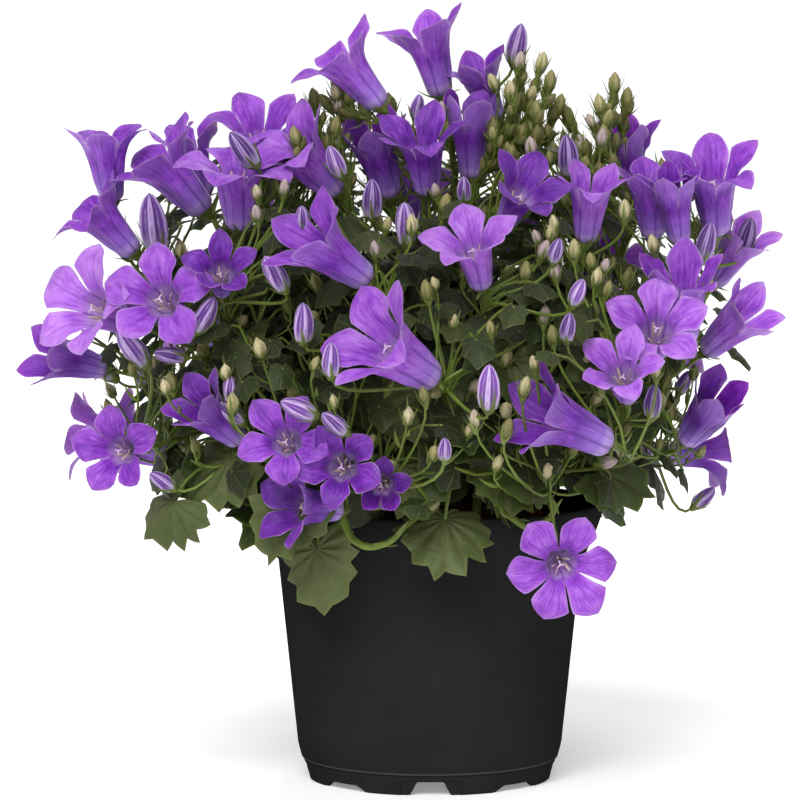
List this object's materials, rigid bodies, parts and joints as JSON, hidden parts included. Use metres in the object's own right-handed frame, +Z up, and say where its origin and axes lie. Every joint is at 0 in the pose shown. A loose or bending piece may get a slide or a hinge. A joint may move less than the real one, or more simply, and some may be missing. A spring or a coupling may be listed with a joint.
{
  "type": "potted cushion bellflower",
  "caption": "Dense cushion of violet bell flowers, striped buds and toothed heart-shaped leaves on leafy stems, standing in soil in a round black nursery pot.",
  "frame": {"origin": "middle of the flat pad under the pot, which is level with its foot ring", "axes": "+Z up along the pot's axis, -Y towards the side that the picture shows, +X to its right"},
  "size_m": [0.2592, 0.2262, 0.2653],
  "materials": {
    "pot": "satin black moulded plastic with fine turning marks",
    "soil": "dark red-brown crumbly peat soil",
    "foliage": "satin dark green leaf with paler veins, yellow-green on the stems",
    "petals": "velvety violet petal with darker veins, paler at the throat and the foot",
    "buds": "dark violet bud with pale lilac ribs",
    "pistils": "matt cream to pale pink"
  },
  "bodies": {
    "root": {"pot": "pot", "soil": "soil", "leafy_stem_01": "foliage", "leafy_stem_02": "foliage", "leafy_stem_03": "foliage", "leafy_stem_04": "foliage", "leafy_stem_05": "foliage", "leafy_stem_06": "foliage", "leafy_stem_07": "foliage", "leafy_stem_08": "foliage", "leafy_stem_09": "foliage", "leafy_stem_10": "foliage", "leafy_stem_11": "foliage", "leafy_stem_12": "foliage", "leafy_stem_13": "foliage", "bloom_01": "petals", "bloom_02": "petals", "bloom_03": "petals", "bloom_04": "petals", "bloom_05": "petals", "bloom_06": "petals", "bloom_07": "petals", "bloom_08": "petals", "bloom_09": "petals", "bloom_10": "petals", "bloom_11": "petals", "bloom_12": "petals", "bloom_13": "petals", "bloom_14": "petals", "bloom_15": "petals", "bloom_16": "petals", "bloom_17": "petals", "bloom_18": "petals", "bloom_19": "petals", "bloom_20": "petals", "bloom_21": "petals", "bloom_22": "petals", "bloom_23": "petals", "bloom_24": "petals", "bloom_25": "petals", "bloom_26": "petals", "bloom_27": "petals", "bloom_28": "petals", "bloom_29": "petals", "bloom_30": "petals", "bloom_31": "petals", "bloom_32": "petals", "bloom_33": "petals", "bloom_34": "petals", "bloom_35": "petals", "bloom_36": "petals", "bloom_37": "petals", "bloom_38": "petals", "bloom_39": "petals", "bloom_40": "petals", "bloom_41": "petals", "bloom_42": "petals", "bloom_43": "petals", "bloom_44": "petals"}
  },
  "joints": []
}
